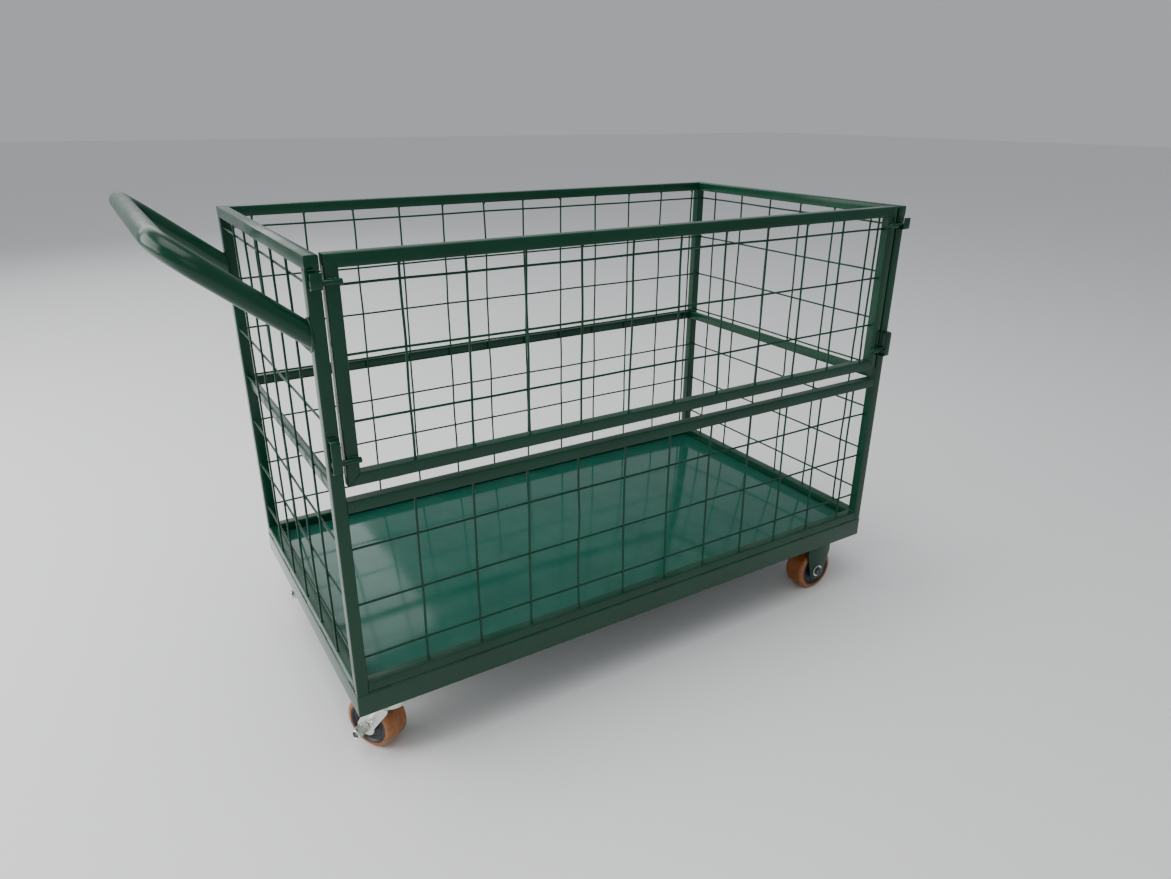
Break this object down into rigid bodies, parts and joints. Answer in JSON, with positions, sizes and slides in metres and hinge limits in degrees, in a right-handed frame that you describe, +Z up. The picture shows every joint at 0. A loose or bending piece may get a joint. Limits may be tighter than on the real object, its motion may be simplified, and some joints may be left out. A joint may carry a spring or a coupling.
{
  "type": "mesh cart",
  "caption": "Steel platform cart with wire mesh sides, a lift-and-drop front gate, a tube handle, and swivel and fixed casters.",
  "frame": {"origin": "on the floor under the middle of the bounding box", "axes": "+X along the deck away from the handle, -Y towards the gate, +Z up"},
  "size_m": [1.3818, 0.671, 0.9238],
  "materials": {
    "green_paint": "gloss enamel",
    "zinc": "bright zinc plate",
    "orange_tread": "satin cast polyurethane",
    "black_hub": "moulded nylon"
  },
  "bodies": {
    "root": {"bolster_left": "green_paint", "bolster_right": "green_paint", "bottom_rail_back": "green_paint", "bottom_rail_front": "green_paint", "bottom_rail_left": "green_paint", "bottom_rail_right": "green_paint", "deck_pan": "green_paint", "deck_stiffener": "green_paint", "fixed_caster_back_axle_bolt": "zinc", "fixed_caster_back_axle_nuts": "zinc", "fixed_caster_back_bracket": "green_paint", "fixed_caster_front_axle_bolt": "zinc", "fixed_caster_front_axle_nuts": "zinc", "fixed_caster_front_bracket": "green_paint", "gate_hook_left": "green_paint", "gate_hook_right": "green_paint", "gate_strap_left": "green_paint", "gate_strap_right": "green_paint", "handle": "green_paint", "mesh_back": "green_paint", "mesh_front": "green_paint", "mesh_left": "green_paint", "mesh_right": "green_paint", "mid_rail_back": "green_paint", "mid_rail_front": "green_paint", "mid_rail_left": "green_paint", "mid_rail_right": "green_paint", "post_left_back": "green_paint", "post_left_front": "green_paint", "post_right_back": "green_paint", "post_right_front": "green_paint", "swivel_caster_back_plate": "zinc", "swivel_caster_front_plate": "zinc", "top_rail_back": "green_paint", "top_rail_left": "green_paint", "top_rail_right": "green_paint"},
    "gate_pins": {"gate_lower_pin_left": "green_paint", "gate_lower_pin_right": "green_paint"},
    "gate": {"gate_bottom_bar": "green_paint", "gate_left_bar": "green_paint", "gate_mesh": "green_paint", "gate_right_bar": "green_paint", "gate_top_bar": "green_paint", "gate_upper_pin_left": "green_paint", "gate_upper_pin_right": "green_paint"},
    "swivel_front": {"swivel_caster_front_fork": "zinc", "swivel_caster_front_axle_bolt": "zinc", "swivel_caster_front_axle_nuts": "zinc"},
    "swivel_wheel_front": {"swivel_caster_front_tread": "orange_tread", "swivel_caster_front_hub": "black_hub"},
    "swivel_back": {"swivel_caster_back_fork": "zinc", "swivel_caster_back_axle_bolt": "zinc", "swivel_caster_back_axle_nuts": "zinc"},
    "swivel_wheel_back": {"swivel_caster_back_tread": "orange_tread", "swivel_caster_back_hub": "black_hub"},
    "fixed_wheel_front": {"fixed_caster_front_tread": "orange_tread", "fixed_caster_front_hub": "black_hub"},
    "fixed_wheel_back": {"fixed_caster_back_tread": "orange_tread", "fixed_caster_back_hub": "black_hub"}
  },
  "joints": [
    {"name": "gate_lift", "type": "slide", "parent": "root", "child": "gate_pins", "axis": [0, 0, 1], "range_m": [0, 0.028]},
    {"name": "gate_drop", "type": "hinge", "parent": "gate_pins", "child": "gate", "pos_m": [0.0899, -0.3243, 0.5868], "axis": [1, 0, 0], "range_deg": [0, 180]},
    {"name": "swivel_turn_front", "type": "hinge", "parent": "root", "child": "swivel_front", "pos_m": [-0.4411, -0.2685, 0.05], "axis": [0, 0, 1], "continuous": true},
    {"name": "swivel_wheel_spin_front", "type": "hinge", "parent": "swivel_front", "child": "swivel_wheel_front", "pos_m": [-0.4601, -0.23559, 0.05], "axis": [0.866, 0.5, 0], "continuous": true},
    {"name": "swivel_turn_back", "type": "hinge", "parent": "root", "child": "swivel_back", "pos_m": [-0.4411, 0.2835, 0.05], "axis": [0, 0, 1], "continuous": true},
    {"name": "swivel_wheel_spin_back", "type": "hinge", "parent": "swivel_back", "child": "swivel_wheel_back", "pos_m": [-0.4411, 0.2455, 0.05], "axis": [1, 0, 0], "continuous": true},
    {"name": "fixed_wheel_spin_front", "type": "hinge", "parent": "root", "child": "fixed_wheel_front", "pos_m": [0.5899, -0.2685, 0.05], "axis": [0, 1, 0], "continuous": true},
    {"name": "fixed_wheel_spin_back", "type": "hinge", "parent": "root", "child": "fixed_wheel_back", "pos_m": [0.5899, 0.2835, 0.05], "axis": [0, 1, 0], "continuous": true}
  ]
}
